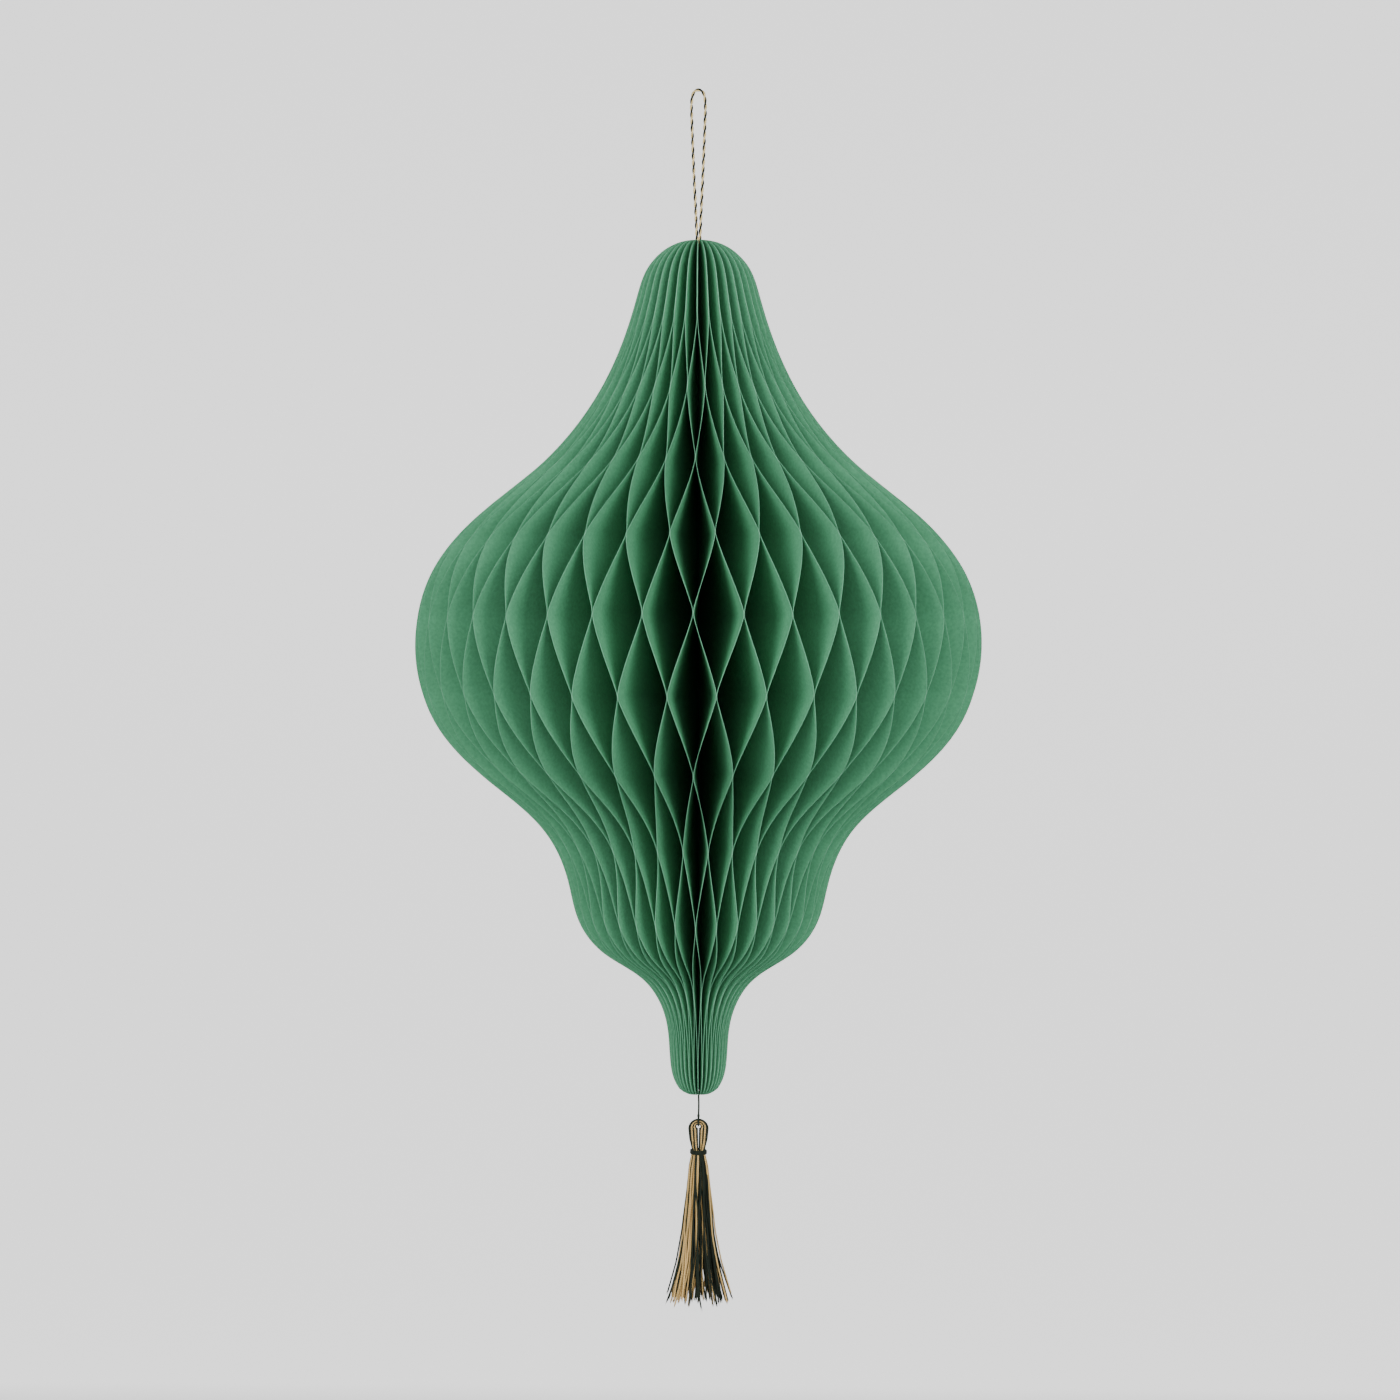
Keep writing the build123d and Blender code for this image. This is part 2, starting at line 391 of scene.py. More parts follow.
def strand_tree():
    """Geometry nodes that sweep a round strand along every path of a curve object."""
    name = "strand_along_paths"
    if name in bpy.data.node_groups:
        return bpy.data.node_groups[name]
    tree = bpy.data.node_groups.new(name, "GeometryNodeTree")
    tree.is_modifier = True
    face = tree.interface
    face.new_socket("Geometry", in_out="INPUT", socket_type="NodeSocketGeometry")
    face.new_socket("Radius", in_out="INPUT", socket_type="NodeSocketFloat")
    face.new_socket("Sides", in_out="INPUT", socket_type="NodeSocketInt")
    face.new_socket("Material", in_out="INPUT", socket_type="NodeSocketMaterial")
    face.new_socket("Geometry", in_out="OUTPUT", socket_type="NodeSocketGeometry")
    given = add_node(tree, "NodeGroupInput")
    result = add_node(tree, "NodeGroupOutput")
    place = add_node(tree, "GeometryNodeSplineParameter")
    marked = add_node(
        tree,
        "GeometryNodeStoreNamedAttribute",
        {"Geometry": given.outputs["Geometry"], "Name": "along", "Value": place.outputs["Length"]},
        data_type="FLOAT",
        domain="POINT",
    )
    ring = add_node(
        tree,
        "GeometryNodeCurvePrimitiveCircle",
        {"Resolution": given.outputs["Sides"], "Radius": given.outputs["Radius"]},
    )
    ring_place = add_node(tree, "GeometryNodeSplineParameter")
    marked_ring = add_node(
        tree,
        "GeometryNodeStoreNamedAttribute",
        {"Geometry": ring.outputs["Curve"], "Name": "around", "Value": ring_place.outputs["Factor"]},
        data_type="FLOAT",
        domain="POINT",
    )
    sweep = add_node(
        tree,
        "GeometryNodeCurveToMesh",
        {
            "Curve": marked.outputs["Geometry"],
            "Profile Curve": marked_ring.outputs["Geometry"],
            "Fill Caps": True,
        },
    )
    if "Scale" in sweep.inputs:
        width = add_node(tree, "GeometryNodeInputRadius")
        tree.links.new(width.outputs["Radius"], sweep.inputs["Scale"])
    real = add_node(tree, "GeometryNodeRealizeInstances", {"Geometry": sweep.outputs["Mesh"]})
    painted = add_node(
        tree,
        "GeometryNodeSetMaterial",
        {"Geometry": real.outputs["Geometry"], "Material": given.outputs["Material"]},
    )
    tree.links.new(painted.outputs["Geometry"], result.inputs["Geometry"])
    return tree


def strand_piece(name, paths, radius, material, body, sides=8):
    """One mesh of round strands. A path is a list of (point, width factor), in metres."""
    data = bpy.data.curves.new(name, "CURVE")
    data.dimensions = "3D"
    for path in paths:
        spline = data.splines.new("POLY")
        spline.points.add(len(path) - 1)
        for spot, (point, width) in zip(spline.points, path):
            spot.co = (*point, 1.0)
            spot.radius = width
    carrier = bpy.data.objects.new(name + ".paths", data)
    bpy.context.scene.collection.objects.link(carrier)
    tree = strand_tree()
    modifier = carrier.modifiers.new("strands", "NODES")
    modifier.node_group = tree
    values = {"Radius": radius, "Sides": sides, "Material": material}
    for item in tree.interface.items_tree:
        if item.in_out == "INPUT" and item.name in values:
            modifier[item.identifier] = values[item.name]
    evaluated = carrier.evaluated_get(bpy.context.evaluated_depsgraph_get())
    mesh = bpy.data.meshes.new_from_object(evaluated)
    mesh.name = name
    mesh.shade_smooth()
    bpy.data.objects.remove(carrier)
    if not mesh.materials:
        mesh.materials.append(material)
    return new_piece(name, mesh, body)


def evenly(path):
    """A plain path as (point, 1) pairs."""
    return [(point, 1.0) for point in path]


# ---------------------------------------------------------------- hanging loop


def route_points(name, corners):
    """Points along the smooth spline of a cord's route."""
    data = bpy.data.curves.new(name, "CURVE")
    data.dimensions = "3D"
    spline = data.splines.new("NURBS")
    spline.points.add(len(corners) - 1)
    for spot, corner in zip(spline.points, corners):
        spot.co = (*corner, 1.0)
    spline.order_u = 3
    spline.use_endpoint_u = True
    spline.resolution_u = 24
    carrier = bpy.data.objects.new(name, data)
    bpy.context.scene.collection.objects.link(carrier)
    evaluated = carrier.evaluated_get(bpy.context.evaluated_depsgraph_get())
    mesh = bpy.data.meshes.new_from_object(evaluated)
    points = [vertex.co.copy() for vertex in mesh.vertices]
    bpy.data.objects.remove(carrier)
    bpy.data.meshes.remove(mesh)
    return points


def even_steps(points, step):
    """The same line with points at even steps."""
    lengths = [0.0]
    for first, second in zip(points, points[1:]):
        lengths.append(lengths[-1] + (second - first).length)
    count = max(2, round(lengths[-1] / step))
    places = np.linspace(0, lengths[-1], count + 1)
    table = np.array([tuple(point) for point in points])
    columns = [np.interp(places, lengths, table[:, axis]) for axis in range(3)]
    return [Vector(row) for row in zip(*columns)], lengths[-1]


def twisted_ply(points, step, offset, turn, phase):
    """A helix round a line that lies in the plane of Y = 0."""
    path = []
    sideways = Vector((0, 1, 0))
    for index, point in enumerate(points):
        before = points[max(index - 1, 0)]
        after = points[min(index + 1, len(points) - 1)]
        normal = (after - before).normalized().cross(sideways)
        angle = 2 * math.pi * index * step / turn + phase
        path.append(point + offset * (math.cos(angle) * sideways + math.sin(angle) * normal))
    return path


class LANTERN_OT_hanging_loop(bpy.types.Operator):
    """Makes the loop of two-ply twine that the lantern hangs by"""

    bl_idname = "lantern.hanging_loop"
    bl_label = "Hanging Loop"

    def execute(self, context):
        settings = context.scene.lantern_twine
        corners = [(x * MM, 0, z * MM) for x, z in LEG]
        corners += [(-x, y, z) for x, y, z in reversed(corners)]
        line, length = even_steps(route_points("loop_route", corners), 0.35 * MM)
        step = length / (len(line) - 1)
        cream = twisted_cotton("twine_cream_ply", settings.cream, plies=2, turn=1.6 * MM, diameter=0.6 * MM)
        green = twisted_cotton("twine_green_ply", settings.green, plies=2, turn=1.6 * MM, diameter=0.6 * MM)
        offset = settings.diameter * PLY_OFFSET
        radius = settings.diameter * PLY_RADIUS
        plies = []
        for name, material, phase in (("cream", cream, 0.4), ("green", green, 0.4 + math.pi)):
            path = twisted_ply(line, step, offset, settings.twist, phase)
            plies.append(strand_piece(f"hanging_loop_{name}", [evenly(path)], radius, material, "loop"))
        loop = join_pieces("hanging_loop_twine", plies, "loop")
        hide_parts("hanging_loop")
        return {"FINISHED"}


def join_pieces(name, pieces, body):
    """Joins meshes that ride on one body into one piece, keeping their materials."""
    meshes = [piece.data for piece in pieces]
    materials = [mesh.materials[0] for mesh in meshes]
    vertices, faces, slots, along, around = [], [], [], [], []
    for slot, mesh in enumerate(meshes):
        start = len(vertices)
        vertices += [tuple(vertex.co) for vertex in mesh.vertices]
        faces += [[start + index for index in face.vertices] for face in mesh.polygons]
        slots += [slot] * len(mesh.polygons)
        along += [item.value for item in mesh.attributes["along"].data]
        around += [item.value for item in mesh.attributes["around"].data]
    joined = bpy.data.meshes.new(name)
    joined.from_pydata(vertices, [], faces)
    for material in materials:
        joined.materials.append(material)
    joined.polygons.foreach_set("material_index", slots)
    joined.attributes.new("along", "FLOAT", "POINT").data.foreach_set("value", along)
    joined.attributes.new("around", "FLOAT", "POINT").data.foreach_set("value", around)
    joined.shade_smooth()
    for piece in pieces:
        bpy.data.objects.remove(piece)
    return new_piece(name, joined, body)


class LANTERN_OT_crown_knot(bpy.types.Operator):
    """Makes the small knot where the loop's legs meet the paper"""

    bl_idname = "lantern.crown_knot"
    bl_label = "Crown Knot"

    def execute(self, context):
        settings = context.scene.lantern_twine
        low, high = box_of("crown_knot")
        centre = (low + high) / 2
        radius = (high.z - low.z) / 2 - settings.diameter / 4
        ply_radius = settings.diameter * CROWN_PLY_RADIUS
        turns = 3.5
        steps = 120
        cream = bpy.data.materials["twine_cream_ply"]
        green = bpy.data.materials["twine_green_ply"]
        plies = []
        for name, material, phase in (("cream", cream, 0.0), ("green", green, math.pi)):
            path = []
            for index in range(steps + 1):
                share = index / steps
                turn = 2 * math.pi * turns * share + phase
                tilt = math.pi * (share - 0.5) * 0.9
                level = math.cos(tilt)
                ring = Vector((math.cos(turn) * level, math.sin(turn) * level, math.sin(tilt)))
                path.append(centre + radius * ring)
            plies.append(strand_piece(f"crown_{name}", [evenly(path)], ply_radius, material, "crown"))
        knot = join_pieces("crown_knot_twine", plies, "crown")
        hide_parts("crown_knot")
        return {"FINISHED"}


# ---------------------------------------------------------------- paper leaves


def leaf_outline():
    """(heights, radii) of a leaf's outer edge from the top down, and its spine's radius."""
    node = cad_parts[f"leaf_pair_{MIDDLE_PAIR:02d}"]
    places = np.array([(vertex.co.z, -vertex.co.y) for vertex in node.data.vertices])
    spine = places[:, 1].min()
    top, bottom = places[:, 0].max(), places[:, 0].min()
    edge = {(round(z, 6), round(r, 6)) for z, r in places if r > spine + 0.02 * MM}
    edge |= {(round(top, 6), round(spine, 6)), (round(bottom, 6), round(spine, 6))}
    table = np.array(sorted(edge, reverse=True))
    return table[:, 0], table[:, 1], spine


def leaf_rows(settings):
    """Heights and outer radii of a leaf's mesh rows, evenly spaced along its outline."""
    heights, radii, spine = leaf_outline()
    steps = np.hypot(np.diff(heights), np.diff(radii))
    lengths = np.concatenate([[0], np.cumsum(steps)])
    places = np.linspace(0, lengths[-1], int(lengths[-1] / settings.row_step) + 1)
    return np.interp(places, lengths, heights), np.interp(places, lengths, radii), spine


class GlueNodes:
    """Where each leaf meets its partner and its neighbour, slightly uneven as if glued by hand."""

    def __init__(self, settings, paper_top, paper_bottom):
        self.spacing = settings.level_spacing
        self.first = paper_top - settings.first_level
        self.count = int((self.first - paper_bottom) / self.spacing) + 1
        random.seed(settings.seed)
        spots = (PAIR_COUNT + 2) * 2 * self.count
        self.shift = [random.uniform(-1, 1) * settings.unevenness for _ in range(spots)]
        self.slide = [random.uniform(-1, 1) * settings.unevenness for _ in range(spots)]

    def index(self, pair, side, level):
        """The node that this leaf has at this level: its pair's own, or the one shared with its neighbour."""
        if level % 2 == 0:
            return 2 * pair * self.count + level
        boundary = pair if side > 0 else pair - 1
        return (2 * boundary + 1) * self.count + level

    def height(self, pair, side, level):
        return self.first - level * self.spacing + self.shift[self.index(pair, side, level)]

    def swing(self, pair, side, level):
        return self.slide[self.index(pair, side, level)]


def leaf_wave(nodes, settings, pair, side, heights, radii):
    """How far each row is opened, 0 at its partner and 1 at its neighbour, and its sideways slide."""
    opened = np.zeros_like(heights)
    slide = np.zeros_like(heights)
    levels = [nodes.height(pair, side, level) for level in range(nodes.count)]
    for row, (height, radius) in enumerate(zip(heights, radii)):
        if height >= levels[0] or height <= levels[-1]:
            continue
        level = max(i for i, value in enumerate(levels) if height <= value)
        gap = levels[level] - levels[level + 1]
        narrow = min(1.0, max(0.0, (NARROW_BELOW - radius) / NARROW_FADE))
        band = settings.glue_height / 2 * (1 + NARROW_GLUE * narrow)
        share = (levels[level] - height - band) / (gap - 2 * band)
        share = min(1.0, max(0.0, share))
        eased = share * share * (3 - 2 * share)
        share = (1 - ROUNDING) * share + ROUNDING * eased
        opened[row] = share if level % 2 == 0 else 1 - share
        first = nodes.swing(pair, side, level)
        second = nodes.swing(pair, side, level + 1)
        slide[row] = (first + (second - first) * share) * min(1.0, radius / 0.1)
    return opened, slide


# Mesh columns of a leaf, as shares of the way from its spine to its edge
COLUMNS = np.array([0.0, 0.22, 0.45, 0.65, 0.82, 0.94])


def leaf_mesh(name, settings, nodes, pair, side, azimuth, spine, near, rows):
    """One leaf as a thin closed sheet.

    near is the leaf's distance from its pair's plane where it is glued to its partner.
    """
    heights, radii, _ = rows
    keep = radii > spine + settings.cut_edge
    heights, radii = heights[keep], radii[keep]
    opened, slide = leaf_wave(nodes, settings, pair, side, heights, radii)
    count = len(heights)
    inner = radii - settings.cut_edge
    across = [spine + share * (inner - spine) for share in COLUMNS] + [inner, radii]
    radius = np.stack(across, axis=1)
    opened = opened[:, None]
    turn = azimuth + side * FAN_STEP / 2 * opened
    clear = settings.thickness / 2 + LEAF_GAP
    away = side * (near * (1 - opened) - clear * opened) + slide[:, None] * (radius / radii[:, None]) ** 2
    half = settings.thickness / 2 * np.clip(SPINE_THICKNESS + (radius - spine) / SPINE_FADE, 0, 1)
    height = np.broadcast_to(heights[:, None], radius.shape)
    layers = []
    for face in (1, -1):
        offset = away + face * half
        x = radius * np.cos(turn) - offset * np.sin(turn)
        y = radius * np.sin(turn) + offset * np.cos(turn)
        layers.append(np.stack([x, y, height], axis=2).reshape(-1, 3))
    width = radius.shape[1]
    total = count * width
    faces, slots = [], []
    for row in range(count - 1):
        for column in range(width - 1):
            a = row * width + column
            b, c, d = a + 1, a + width + 1, a + width
            faces += [(a, b, c, d), (total + a, total + d, total + c, total + b)]
            slots += [1 if column == width - 2 else 0] * 2
        for column, order in ((0, 1), (width - 1, -1)):
            a = row * width + column
            d = a + width
            faces.append((a, d, total + d, total + a)[::order])
            slots.append(1 if column else 0)
    for row, order in ((0, -1), (count - 1, 1)):
        for column in range(width - 1):
            a = row * width + column
            faces.append((a, a + 1, total + a + 1, total + a)[::order])
            slots.append(1)
    faces = [face[::-1] for face in faces]
    mesh = bpy.data.meshes.new(name)
    mesh.from_pydata(np.concatenate(layers).tolist(), [], faces)
    for material in ("uncoated_dyed_paper", "cut_paper_edge"):
        mesh.materials.append(bpy.data.materials[material])
    mesh.polygons.foreach_set("material_index", slots)
    mesh.shade_smooth()
    mesh.set_sharp_from_angle(angle=SHARP_ANGLE)
    return mesh


class LANTERN_OT_leaves(bpy.types.Operator):
    """Makes the honeycomb leaves, two to a pair, and the end leaf on each cover"""

    bl_idname = "lantern.leaves"
    bl_label = "Paper Leaves"

    def execute(self, context):
        settings = context.scene.lantern_paper
        uncoated_paper(settings.colour)
        cut_paper_edge(settings.edge_colour)
        rows = leaf_rows(settings)
        heights, _, spine = rows
        nodes = GlueNodes(settings, heights[0], heights[-1])
        near = settings.thickness / 2 + LEAF_GAP
        for pair in range(1, PAIR_COUNT + 1):
            azimuth = SEAM_AZIMUTH + pair * FAN_STEP
            body = "core" if pair == MIDDLE_PAIR else f"pair_{pair:02d}"
            for side, half in ((-1, "a"), (1, "b")):
                name = f"leaf_{pair:02d}{half}"
                mesh = leaf_mesh(name, settings, nodes, pair, side, azimuth, spine, near, rows)
                leaf = new_piece(name, mesh, body)
                self.finish(leaf, azimuth, f"leaf_pair_{pair:02d}", 0.0)
        for hand, pair, side in (("left", 0, 1), ("right", PAIR_COUNT + 1, -1)):
            low, high = box_of(f"end_leaf_{hand}")
            near = abs(low.x + high.x) / 2
            name = f"end_leaf_{hand}_sheet"
            azimuth = SEAM_AZIMUTH
            mesh = leaf_mesh(name, settings, nodes, pair, side, azimuth, low.y, near, rows)
            leaf = new_piece(name, mesh, f"{hand}_cover")
            self.finish(leaf, azimuth, f"end_leaf_{hand}", near * side)
        return {"FINISHED"}

    def finish(self, leaf, azimuth, node, offset):
        """Hides the leaf's part in the model and gives the leaf a mesh of its own."""
        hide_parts(node)
        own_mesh(leaf)


class LANTERN_OT_covers(bpy.types.Operator):
    """Gives the cover cards, their magnets and the spine their finish"""

    bl_idname = "lantern.covers"
    bl_label = "Covers and Spine"

    def execute(self, context):
        paper = context.scene.lantern_paper
        tassel = context.scene.lantern_tassel
        card = pressed_card(paper.colour)
        nickel = nickel_plate()
        cord = spun_cord(tassel.green)
        finishes = {
            "cover_left": card,
            "cover_right": card,
            "closure_magnets_left": nickel,
            "closure_magnets_right": nickel,
            "spine_cord": cord,
            "top_knot": cord,
            "bottom_knot": cord,
        }
        for name, material in finishes.items():
            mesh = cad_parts[name].data
            mesh.materials.clear()
            mesh.materials.append(material)
        return {"FINISHED"}


def spun_cord(colour):
    """Braided cotton cord down the spine, seen only from above and below."""
    material, tree, shader = new_material("spine_cotton_cord", roughness=0.9, specular=0.2, sheen=0.2)
    fuzz = object_noise(tree, 0.9 * MM, detail=3.0, stretch=(1.0, 1.0, 0.4))
    colours = blend_colours(tree, fuzz.outputs["Fac"], shade(colour, 0.6), shade(colour, 1.2))
    tree.links.new(colours, shader.inputs["Base Color"])
    bump_from(tree, shader, fuzz.outputs["Fac"], 0.2 * MM, 0.7)
    return material


# ---------------------------------------------------------------- tassel


def skirt_width(share):
    shares, widths = zip(*SKIRT_WIDTHS)
    return float(np.interp(share, shares, widths)) * MM


def skirt_path(rng, top, length, spread, angle, start_width):
    """A yarn that hangs from the binding: its points from the top down, with widths."""
    reach = length * rng.uniform(0.91, 0.97)
    reach += 1.5 * MM if rng.random() < 0.12 else 0.0
    wave = rng.uniform(0.2, 0.75) * MM
    beat = rng.uniform(1.1, 2.4)
    phase = rng.uniform(0, 2 * math.pi)
    drift = rng.uniform(-0.35, 0.35)
    flare = rng.uniform(0.8, 2.6) * MM if rng.random() < 0.22 else 0.0
    flare_start = 0.7
    path = []
    steps = 34
    for index in range(steps + 1):
        share = index / steps
        turned = angle + drift * share
        out = spread * skirt_width(share) + flare * max(0.0, share - flare_start) / (1 - flare_start)
        sway = wave * math.sin(beat * 2 * math.pi * share + phase) * min(1.0, share * 3)
        x = out * math.cos(turned) - sway * math.sin(turned)
        y = out * math.sin(turned) + sway * math.cos(turned)
        width = start_width + (1 - start_width) * min(1.0, share * 8)
        path.append((Vector((x, y, top - reach * share)), width))
    return path


def frayed_end(rng, path, radius):
    """A few loose fibres at a yarn's cut end."""
    tip = path[-1][0]
    heading = (tip - path[-3][0]).normalized()
    fibre_count = 5
    fibres = []
    for _ in range(fibre_count):
        lean = Vector([rng.uniform(-0.5, 0.5) for _ in range(3)])
        length = rng.uniform(0.8, 2.2) * MM
        start = tip - heading * 0.6 * MM + lean * radius * 0.9
        end = tip + (heading + 0.5 * lean) * length * 0.7
        fibres.append([(start, 0.30), ((start + end) / 2 + lean * 0.2 * MM, 0.24), (end, 0.10)])
    return fibres


def coil(radius, turns, low, rise, steps=60):
    """Close turns of thread round the tassel's axis."""
    path = []
    for index in range(steps + 1):
        angle = 2 * math.pi * turns * index / steps
        path.append(Vector((radius * math.cos(angle), radius * math.sin(angle), low + rise * index / steps)))
    return path


class LANTERN_OT_tassel(bpy.types.Operator):
    """Makes the tassel: its thread, folded yarns, binding and skirt"""

    bl_idname = "lantern.tassel"
    bl_label = "Tassel"

    def execute(self, context):
        settings = context.scene.lantern_tassel
        rng = random.Random(settings.seed)
        radius = settings.yarn / 2
        gold = twisted_cotton("spun_yarn_gold", settings.gold)
        green = twisted_cotton("spun_yarn_green", settings.green)
        thread = twisted_cotton(
            "sewing_thread_green", settings.green, plies=2, turn=1.8 * MM, diameter=0.7 * MM
        )
        skirt_low, _ = box_of("tassel_skirt")
        bind_low, bind_high = box_of("tassel_binding")
        top = bind_low.z
        length = top - skirt_low.z
        paths = {"gold": [], "green": []}
        cut_ends = {"gold": [], "green": []}
        for number in range(settings.folded):
            layer = number % HEAD_LAYERS
            row = number // HEAD_LAYERS % HEAD_ROWS
            # Layers alternate green and gold from the outside in. The innermost layer is green: real yarn
            # colour, and also painted shade at the head's dark centre.
            colour = "gold" if layer % 2 else "green"
            offset = LAYER_STEP * ((HEAD_LAYERS - 1) / 2 - layer) + STAGGER * (row % 2 - 0.5)
            offset += rng.uniform(-0.04, 0.04) * MM
            depth = ROW_STEP * ((HEAD_ROWS - 1) / 2 - row) + rng.uniform(-0.08, 0.08) * MM
            path = self.folded(rng, bind_high.z, top, length, offset, depth)
            paths[colour].append(path)
            cut_ends[colour] += [path, path[::-1]]
        for number in range(settings.filling):
            spread = math.sqrt((number + 0.5) / settings.filling)
            angle = number * GOLDEN_TURN + rng.uniform(-0.2, 0.2)
            leftward = -math.cos(angle) * spread
            # Green and gold yarns fall in bands round the skirt, with more gold on the left. The green bands
            # are real yarn colour, and also painted shade: they put dark lines where strands would shade each
            # other.
            stripe = math.sin(STRIPES * angle) + 0.9 * leftward + rng.uniform(-0.5, 0.5)
            colour = "gold" if stripe > 0.4 else "green"
            path = skirt_path(rng, top, length, spread * 1.04, angle, 0.88)
            first = path[0][0]
            lead = (Vector((first.x * 0.9, first.y * 0.9, bind_high.z - 0.6 * MM)), 0.7)
            path = [lead] + path
            paths[colour].append(path)
            cut_ends[colour].append(path)
        for colour, material in (("gold", gold), ("green", green)):
            strands = paths[colour]
            for path in cut_ends[colour]:
                strands += frayed_end(rng, path, radius)
            yarns = strand_piece(f"tassel_yarns_{colour}", strands, radius, material, "tassel", sides=7)
            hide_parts("tassel_head", "tassel_skirt")
        self.binding(bind_low, bind_high, thread)
        self.thread(thread)
        return {"FINISHED"}

    def folded(self, rng, neck_top, top, length, offset, depth):
        """A yarn from one end of the skirt up over the head's arch and down to its other end.

        offset and depth place it in the bundle: outwards from the arch's middle line, and back.
        """
        low, high = box_of("tassel_head")
        strand = (high.y - low.y) / 2
        bend = (high.x - low.x) / 2 - strand
        centre = high.z - strand - bend
        ends = []
        for lean in (math.pi, 0.0):
            spread = 1.08 * math.sqrt(rng.uniform(0.15, 1.0))
            turned = lean + rng.uniform(-1.35, 1.35)
            ends.append(skirt_path(rng, top, length, spread, turned, 0.85))
        left, right = ends
        arch = []
        steps = 30
        for index in range(steps + 1):
            bearing = math.pi * (1 - index / steps)
            loosened = 1 - math.sin(bearing)
            out = bend + 0.85 * offset * (1 + 0.8 * loosened) - 0.576 * strand * loosened
            point = Vector((out * math.cos(bearing), depth, centre + out * math.sin(bearing)))
            arch.append((point, SLIMMEST_YARN + 0.45 * loosened))
        knee_out = 0.9 * (bend + 1.53 * offset - 0.58 * strand)
        waist_out = 1.55 * MM + 0.95 * offset
        legs = []
        for sign, end in ((-1, left), (1, right)):
            knee = (Vector((sign * knee_out, depth, (centre + neck_top) / 2)), 1.0)
            waist = (Vector((sign * waist_out, end[0][0].y * 0.6, neck_top)), 0.95)
            legs.append([waist, knee])
        return left[::-1] + legs[0] + arch + legs[1][::-1] + right

    def binding(self, low, high, material):
        """Thread wound down the neck, with both ends tucked in."""
        radius = (high.x - low.x) / 2 * 1.08
        strand = BINDING_STRAND
        turns = 4.4
        steps = 140
        tucked = 0.05
        path = []
        for index in range(steps + 1):
            share = index / steps
            angle = 2 * math.pi * turns * share - 0.7
            height = high.z - strand - (high.z - low.z - 2 * strand) * share
            nearest_end = min(share, 1 - share)
            out = (radius - strand) * (1 - 0.5 * max(0.0, tucked - nearest_end) / tucked)
            path.append(Vector((out * math.cos(angle), out * math.sin(angle), height)))
        binding = strand_piece("tassel_binding_thread", [evenly(path)], strand, material, "tassel", 8)
        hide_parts("tassel_binding")

    def thread(self, material):
        """The thread from the paper to the ring, the ring, and a small knot at each end."""
        low, high = box_of("tassel_thread")
        strand = THREAD_STRAND
        ring = (high.y - low.y) / 2 - strand
        ring_z = low.z + ring + strand
        top = high.z - 1.2 * MM
        run = []
        steps = 24
        for index in range(steps + 1):
            stray = 0.16 * MM * math.sin(math.pi * index / steps)
            run.append(Vector((stray, stray * 0.5, top + (ring_z + ring - top) * index / steps)))
        loop = []
        steps = 48
        for index in range(steps + 1):
            angle = 2 * math.pi * index / steps + math.pi / 2
            loop.append(Vector((0, ring * math.cos(angle), ring_z + ring * math.sin(angle))))
        knot = coil(0.2 * MM, 3, ring_z + ring + 0.3 * MM, 1.0 * MM)
        anchor = coil(0.6 * MM, 3, top - 0.6 * MM, 1.2 * MM)
        paths = [evenly(path) for path in (run, loop, knot, anchor)]
        piece = strand_piece("tassel_thread_green", paths, strand, material, "thread", 8)
        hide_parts("tassel_thread")


# ---------------------------------------------------------------- stage


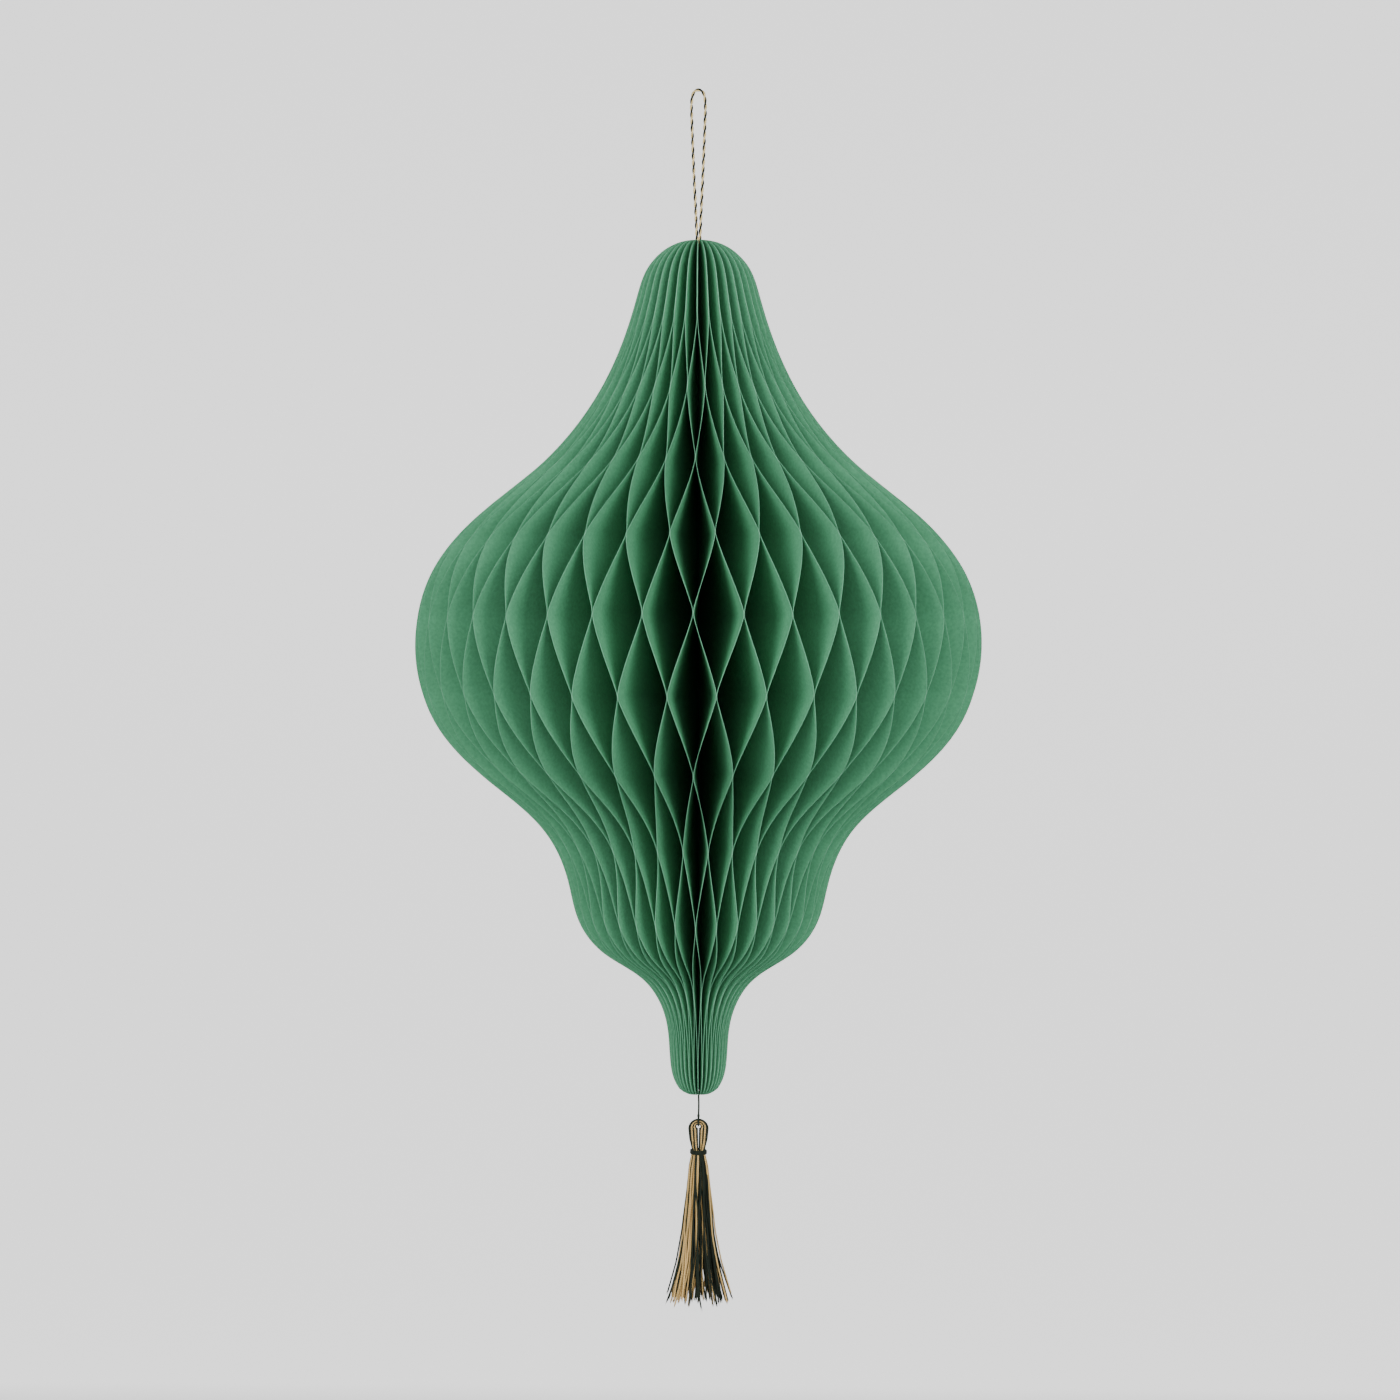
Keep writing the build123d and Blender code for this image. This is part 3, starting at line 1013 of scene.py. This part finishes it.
class LANTERN_OT_stage(bpy.types.Operator):
    """Sets the camera, two softboxes, a weak front light and a backdrop"""

    bl_idname = "lantern.stage"
    bl_label = "Stage"

    def execute(self, context):
        settings = context.scene.lantern_stage
        scene = context.scene
        data = bpy.data.cameras.new("camera")
        data.sensor_width = 36.0
        data.lens = 36.0 * settings.distance / settings.field
        data.shift_x, data.shift_y = LENS_SHIFT
        data.clip_start = 0.01
        camera = bpy.data.objects.new("camera", data)
        turn = settings.camera_turn
        outwards = Vector((math.sin(turn), -math.cos(turn), 0)) * settings.distance
        camera.location = outwards + Vector((0, 0, settings.camera_height))
        camera.rotation_euler = (math.pi / 2, 0, turn)
        scene.collection.objects.link(camera)
        scene.camera = camera
        aim = Vector((0, 0, settings.camera_height))
        aside, ahead, above = SOFTBOX_PLACE
        for sign in (-1, 1):
            place = aim + Vector((sign * aside, ahead, above))
            self.softbox(scene, place, aim, SOFTBOX_SIZE, settings.side_power)
        self.softbox(scene, aim + Vector(FILL_PLACE), aim, FILL_SIZE, settings.fill_power)
        self.world(scene)
        self.sweep(scene)
        return {"FINISHED"}

    def softbox(self, scene, place, aim, size, power):
        data = bpy.data.lights.new("softbox", "AREA")
        data.shape = "RECTANGLE"
        data.size, data.size_y = size
        data.energy = power
        light = bpy.data.objects.new("softbox", data)
        light.location = place
        light.rotation_euler = (aim - place).to_track_quat("-Z", "Y").to_euler()
        scene.collection.objects.link(light)

    def world(self, scene):
        world = bpy.data.worlds.new("studio")
        world.use_nodes = True
        background = world.node_tree.nodes["Background"]
        background.inputs["Color"].default_value = (1.0, 1.0, 1.0, 1.0)
        background.inputs["Strength"].default_value = WORLD_STRENGTH
        scene.world = world

    def sweep(self, scene):
        """A grey floor that curves up into a backdrop. Only what lies behind the lantern glows."""
        floor = CAD_BOX[0][2] - 0.10
        front = -2.5
        bend_start = 0.9
        bend = 0.6
        wall_top = floor + 3.2
        half_width = 3.5
        steps = 12
        profile = [(front, floor), (bend_start, floor)]
        for index in range(1, steps + 1):
            angle = math.pi / 2 * index / steps
            profile.append((bend_start + bend * math.sin(angle), floor + bend * (1 - math.cos(angle))))
        profile.append((bend_start + bend, wall_top))
        vertices = [(x, y, z) for x in (-half_width, half_width) for y, z in profile]
        count = len(profile)
        faces = [(i, count + i, count + i + 1, i + 1) for i in range(count - 1)]
        mesh = bpy.data.meshes.new("sweep")
        mesh.from_pydata(vertices, [], faces)
        mesh.shade_smooth()
        material, tree, shader = new_material("matt_white_sweep", roughness=1.0, specular=0.0)
        shader.inputs["Base Color"].default_value = (SWEEP_GREY, SWEEP_GREY, SWEEP_GREY, 1)
        shader.inputs["Emission Color"].default_value = (1, 1, 1, 1)
        place = add_node(tree, "ShaderNodeTexCoord")
        axes = add_node(tree, "ShaderNodeSeparateXYZ", {"Vector": place.outputs["Object"]})
        glow = add_node(
            tree,
            "ShaderNodeMapRange",
            {
                "Value": axes.outputs["Y"],
                "From Min": GLOW_START,
                "From Max": GLOW_FULL,
                "To Min": 0.0,
                "To Max": SWEEP_GLOW,
            },
        )
        tree.links.new(glow.outputs["Result"], shader.inputs["Emission Strength"])
        mesh.materials.append(material)
        sweep = bpy.data.objects.new("sweep", mesh)
        scene.collection.objects.link(sweep)


# ---------------------------------------------------------------- panel and registration


class LANTERN_PT_panel(bpy.types.Panel):
    """Lists the lantern's pieces"""

    bl_label = "Paper Lantern"
    bl_idname = "LANTERN_PT_panel"
    bl_space_type = "VIEW_3D"
    bl_region_type = "UI"
    bl_category = "Lantern"

    def draw(self, context):
        for group in ("lantern_stage", "lantern_twine", "lantern_paper", "lantern_tassel"):
            box = self.layout.box()
            settings = getattr(context.scene, group)
            for name in settings.bl_rna.properties.keys():
                if name not in ("rna_type", "name"):
                    box.prop(settings, name)
        for operator in OPERATORS:
            self.layout.operator(operator.bl_idname)


OPERATORS = (
    LANTERN_OT_stage,
    LANTERN_OT_hanging_loop,
    LANTERN_OT_crown_knot,
    LANTERN_OT_leaves,
    LANTERN_OT_covers,
    LANTERN_OT_tassel,
)
SETTINGS = {
    "lantern_stage": LanternStageSettings,
    "lantern_twine": LanternTwineSettings,
    "lantern_paper": LanternPaperSettings,
    "lantern_tassel": LanternTasselSettings,
}


def register():
    for name, group in SETTINGS.items():
        bpy.utils.register_class(group)
        setattr(bpy.types.Scene, name, bpy.props.PointerProperty(type=group))
    for operator in OPERATORS:
        bpy.utils.register_class(operator)
    bpy.utils.register_class(LANTERN_PT_panel)


def unregister():
    bpy.utils.unregister_class(LANTERN_PT_panel)
    for operator in reversed(OPERATORS):
        bpy.utils.unregister_class(operator)
    for name, group in SETTINGS.items():
        delattr(bpy.types.Scene, name)
        bpy.utils.unregister_class(group)


def main():
    register()
    bpy.ops.lantern.stage()
    bpy.ops.lantern.hanging_loop()
    bpy.ops.lantern.crown_knot()
    bpy.ops.lantern.leaves()
    bpy.ops.lantern.covers()
    bpy.ops.lantern.tassel()


if __name__ == "__main__":
    main()
